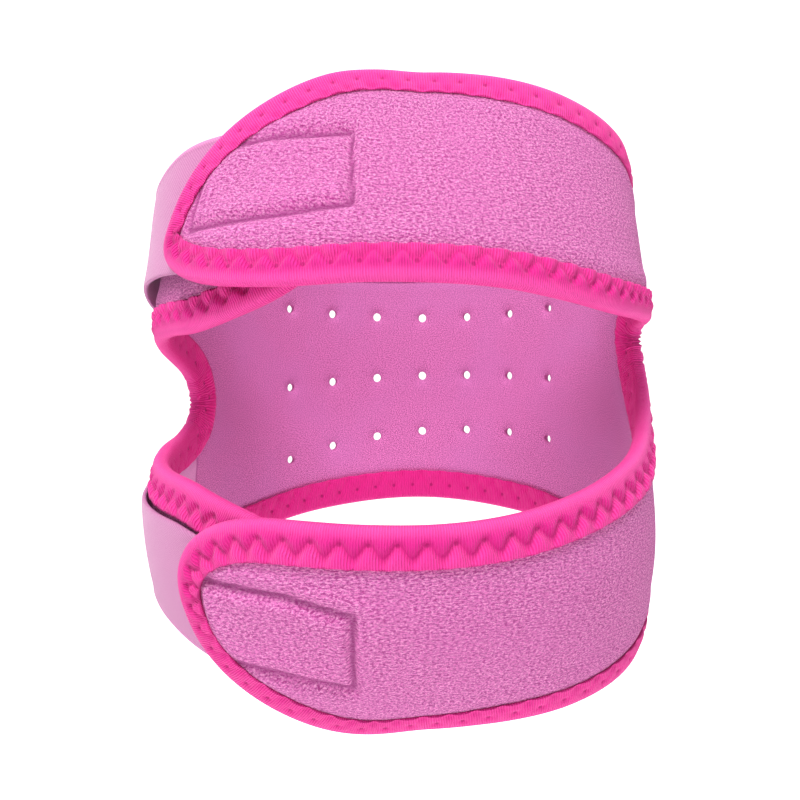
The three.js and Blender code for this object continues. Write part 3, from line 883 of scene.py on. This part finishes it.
on_outer_leg = np.concatenate([outside, np.repeat([[False, False, True, True]], rim_count, 0)], 1)
line_mark = line_depth * np.where(on_outer_leg, 1.0, 0.3)
print("the tape stands", round(float(high.max()), 2), "mm over the band's face")

# %% [markdown]
# ## Finish of the tape
#
# Its ribs run across it, a little under two to the millimetre. They are far too fine for a mesh, so a
# wave along the tape gives them in the relief. The zigzag's line and its inner corners are worked out
# again from the place on the tape, so that their painted shadows stay crisp however near the camera comes.
# The rolled edge has a painted highlight, the tape between the fold and the zigzag has painted shade,
# and the leg on the lining's side is painted deeper as shade.

# %% Tape material
# Of these colours, the pale roll colour is a painted highlight, and the hollow, line, corner and inner
# colours are painted shade.
tape_pinks = {"furrow": (0.54, 0.003, 0.15, 1), "rib": (0.90, 0.07, 0.38, 1), "cloud": (0.68, 0.006, 0.23, 1),
              "roll_highlight": (0.96, 0.12, 0.48, 1), "inner": (0.74, 0.003, 0.22, 1),
              "hollow_shade": (0.56, 0.003, 0.19, 1), "line": (0.50, 0.003, 0.15, 1),
              "corner": (0.33, 0.002, 0.10, 1)}
rib_pitch = 0.55


def knit_tape():
    """Ribs are a sine of the place along. The zigzag is the mesh's own line, mostly a cosine and partly
    straight, and a corner is near where both the place along and the depth are."""
    cloth = Finish("knit_tape", 0.72, sheen=0.2, sheen_tint=(1.0, 0.4, 0.7, 1), specular=0.15)
    laid = cloth.mark("laid", "Vector")
    along, across, over_face = (cloth.axis(laid, letter) for letter in "XYZ")
    waver = cloth.noise(laid, (1.0, 1.0, 1.0), 0.5, 2.0)
    ribs = (along * (2 * np.pi / rib_pitch) + waver * 3.0).apply("SINE") * 0.5 + 0.5
    stitch = cloth.noise(laid, (1.6, 1.6, 1.6), 2.2, 2.0, 0.6)
    cloud = cloth.noise(laid, (1.0, 1.0, 1.0), 0.12, 2.0)
    tooth = (along / pitch).apply("FRACT")
    wave = abs(tooth * 2 - 1) * straight_part
    wave = wave + ((along * (2 * np.pi / pitch)).apply("COSINE") * 0.5 + 0.5) * curved
    line = wave * (line_far - line_near) + line_near
    off_line = abs(across - line) / float(np.hypot(1, (line_far - line_near) * 2 / pitch))
    off_along, off_across = abs(tooth - 0.5) * pitch, across - line_near
    # Painted shade: dark dots for the needle holes at the inner corners of the zigzag.
    corner = (off_along * off_along + off_across * off_across).ease(0.35, 0.05)
    deep_line = cloth.mark("line_depth")
    # Painted shade along the zigzag groove, in the colour named line.
    shade = (1 - off_line.ease(0.0, 0.9)) * across.ease(1.4, 2.8) * deep_line
    # Painted shade: the tape between the fold and the zigzag line is darkened as if shadowed by the roll.
    hollow_shade = (line - across).ease(0.0, 0.5) * across.ease(0.6, 2.6) * deep_line
    # Painted highlight: the rolled fold, where light from above falls on it, is made paler.
    roll_highlight = (1 - across.ease(-0.8, 1.8)) * over_face.ease(-1.6, 0.0)
    # Painted shade: the leg on the lining's side, inside the band, is made deeper though it is the same tape.
    inner = 1 - over_face.ease(-3.4, -2.2)
    tone = cloth.mix(ribs * 0.5 + stitch * 0.6, tape_pinks["furrow"], tape_pinks["rib"])
    for share, strength, colour in ((cloud.ease(0.3, 0.75), 0.35, "cloud"), (roll_highlight, 0.35, "roll_highlight"),
                                    (inner, 0.6, "inner"), (hollow_shade, 0.6, "hollow_shade"), (shade, 0.3, "line"),
                                    (corner, 0.6, "corner")):
        tone = cloth.mix(share * strength, tone, tape_pinks[colour])
    return cloth.wear(Base_Color=tone, Normal=cloth.relief(ribs * 0.8 + stitch * 0.5, 0.3, 0.9))


tape_finish = knit_tape()
tape = make_piece("knit_tape", place(tape_turn, tape_height, high).reshape(-1, 3), grid_faces(numbers),
                  [tape_finish], laid.reshape(-1, 3), marks={"line_depth": line_mark.ravel()})
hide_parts("edge_binding")

# %% [markdown]
# ## Loop tabs
#
# On the left each short arm carries a sheet of pale loop cloth that the long arm's end fastens to. It
# lies over the arm, clear of the arm's own tape, and runs on under the tip. Its outer edge is turned
# under and sewn, which shows as a narrow band. It is a single sheet with a wall of its own, because both
# of its faces and its edge can be seen.

# %% Material of the tabs
twill_pitch, twill_slant = 0.62, 0.62


def tab_cloth():
    """A slanting twill and fibres; the third number of laid marks the hem with one, and the back with minus
    one, where the tab is painted dark as shade."""
    cloth = Finish("tab_loop", 0.9, sheen=0.3, sheen_tint=(1.0, 0.85, 0.95, 1), specular=0.2)
    laid = cloth.mark("laid", "Vector")
    along, across, hem_or_back = (cloth.axis(laid, letter) for letter in "XYZ")
    waver = cloth.noise(laid, (1.0, 1.0, 0), 0.35, 2.0)
    slanted = (along * twill_slant + across) * (2 * np.pi / twill_pitch)
    twill = (slanted + waver * 4.0).apply("SINE") * 0.5 + 0.5
    fibre = cloth.noise(laid, (1.3, 1.3, 0), 2.8, 3.0, 0.65)
    weave = twill * 0.25 + fibre * 0.75
    tone = cloth.mix(weave.ease(0.25, 0.85), (0.38, 0.12, 0.27, 1), (0.54, 0.215, 0.40, 1))
    tone = cloth.mix(hem_or_back.ease(0.5, 1.0) * 0.4, tone, (0.68, 0.23, 0.48, 1))
    # Painted shade: the tab's back, turned away from the light, is dark purple.
    tone = cloth.mix(1 - hem_or_back.ease(-1.0, -0.3), tone, (0.36, 0.06, 0.26, 1))
    return cloth.wear(Base_Color=tone, Normal=cloth.relief(weave, 0.22, 0.6))


tab_finish = tab_cloth()
print("finish", tab_finish.name)

# %% Make the tabs
tab_turns = (264, 359)
tab_columns, tab_rows = 110, 45
hem_more = 1.1
hem_width, hem_rise = (1.0, 1.7), 0.22


def make_tab(name):
    """A sheet between the arm's tape and the arm's outer edge, as thick as its cloth, with a hem.

    Its rows are spaced by the mean of a straight line and half a cosine, closer at both edges. Its
    lie is the height over the arm, and a flare that grows with the square of the way to the opening."""
    strap = straps[name]
    side = strap["side"]
    column = np.linspace(*tab_turns, tab_columns)
    shown = np.minimum(column, round_start)
    near = edge_height(name, shown, False) + side * (tape_width + strap["edge"])
    far = edge_height(name, shown, True) + side * gap
    share = (1 - np.cos(np.linspace(0, np.pi, tab_rows))) / 2
    share = 0.5 * share + 0.5 * np.linspace(0, 1, tab_rows)
    tab_turn = np.repeat(column[:, None], tab_rows, 1)
    tab_height = near[:, None] + (far - near)[:, None] * share[None]
    flare = strap["flare"] * (1 - share[None]) ** 2 * (1 - ease(tab_turn, 300, 330))
    belly = ease(tab_turn, 268, 286) * (1 - ease(tab_turn, 296, 318))
    flare = flare + strap["belly"] * belly * ease(share[None], 0, 1)
    from_hem = np.abs(tab_height - far[:, None])
    hem = 1 - ease(from_hem, *hem_width)
    from_opening = np.abs(tab_height - near[:, None])
    thin = 0.35 * np.exp(-from_hem / 0.5) + 0.35 * np.exp(-from_opening / 0.5)
    lie = tab_rise + flare + slow_waves(tab_turn, tab_height, 0.1)
    upper_face = lie + tab_thickness + hem_rise * hem - thin
    lower_face = lie + thin * 0.5
    numbers = np.arange(tab_turn.size).reshape(tab_turn.shape)
    tab_faces = grid_faces(numbers if side > 0 else numbers[:, ::-1])
    faces = np.concatenate(wall_faces(tab_faces, tab_turn.size))
    points = [place(tab_turn, tab_height, face).reshape(-1, 3) for face in (upper_face, lower_face)]
    laid = [np.stack([tab_turn * arc, tab_height, mark], -1) for mark in (hem, hem * 0 - 1)]
    laid = np.concatenate(laid).reshape(-1, 3)
    tab = make_piece(f"{name}_tab", np.concatenate(points), faces, [tab_finish], laid)
    corner = points[0][tab_faces]
    crossed = np.cross(corner[:, 2] - corner[:, 0], corner[:, 3] - corner[:, 1])
    width = np.abs(far - near).max() * hem_more
    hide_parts(f"{name}_loop_tab")


for name in straps:
    make_tab(name)

# %% [markdown]
# ## Hook patches
#
# The two patches of hooks are hidden between the tips and the tabs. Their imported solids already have
# the right shape, so they stay, and only take a finish of fine upright hooks.

# %% Hook material
def hook_tape():
    """Cells of a Voronoi pattern, pale in the middle and dark between, as upright hooks look from above."""
    cloth = Finish("hook_tape", 0.55, specular=0.4)
    where = cloth.node("TexCoord", output="Object")
    cells = cloth.node("TexVoronoi", {"feature": "F1"}, {"Vector": where, "Scale": 1400.0, "Randomness": 0.4},
                       output="Distance")
    tone = cloth.mix(cells.ease(0.1, 0.6), (0.75, 0.22, 0.52, 1), (0.42, 0.07, 0.27, 1))
    return cloth.wear(Base_Color=tone, Normal=cloth.relief(1 - cells, 0.3, 0.8))


hooks = hook_tape()
for name in straps:
    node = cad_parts[f"{name}_hook_patch"]
    node.data.materials.clear()
    node.data.materials.append(hooks)
print("hook patches", [f"{name}_hook_patch" for name in straps])

# %% [markdown]
# ## The floor
#
# A pale floor that curves up into a wall: flat, then a quarter circle, then straight up. It is far enough
# below the strap to catch no dark shadow, and it glows a little, so that it comes out white.

# %% Make the floor
floor_front, floor_level, floor_half = -1.2, -0.19, 2.5
bend = 0.8
flat_part, wall_part = 2.6, 1.6
total = flat_part + bend * np.pi / 2 + wall_part
walk = np.linspace(0, 1, 60) * total
angle = np.clip((walk - flat_part) / bend, 0, np.pi / 2)
up_wall = np.clip(walk - flat_part - bend * np.pi / 2, 0, None)
floor_y = floor_front + np.minimum(walk, flat_part) + bend * np.sin(angle)
floor_z = floor_level + bend * (1 - np.cos(angle)) + up_wall
left_right = np.linspace(-floor_half, floor_half, 11)
points = np.stack(np.broadcast_arrays(left_right[:, None], floor_y[None], floor_z[None]), -1).reshape(-1, 3)
numbers = np.arange(len(points)).reshape(len(left_right), len(walk))
paper = Finish("pale_paper", 0.9, specular=0.1)
paper.wear(Base_Color=(0.8, 0.8, 0.8, 1), Emission_Color=(1, 1, 1, 1), Emission_Strength=0.6)
floor_mesh = bpy.data.meshes.new("floor")
floor_mesh.from_pydata(points.tolist(), [], grid_faces(numbers).tolist())
floor_mesh.materials.append(paper.material)
floor = bpy.data.objects.new("floor", floor_mesh)
bpy.context.collection.objects.link(floor)
print("floor", len(points), "points")
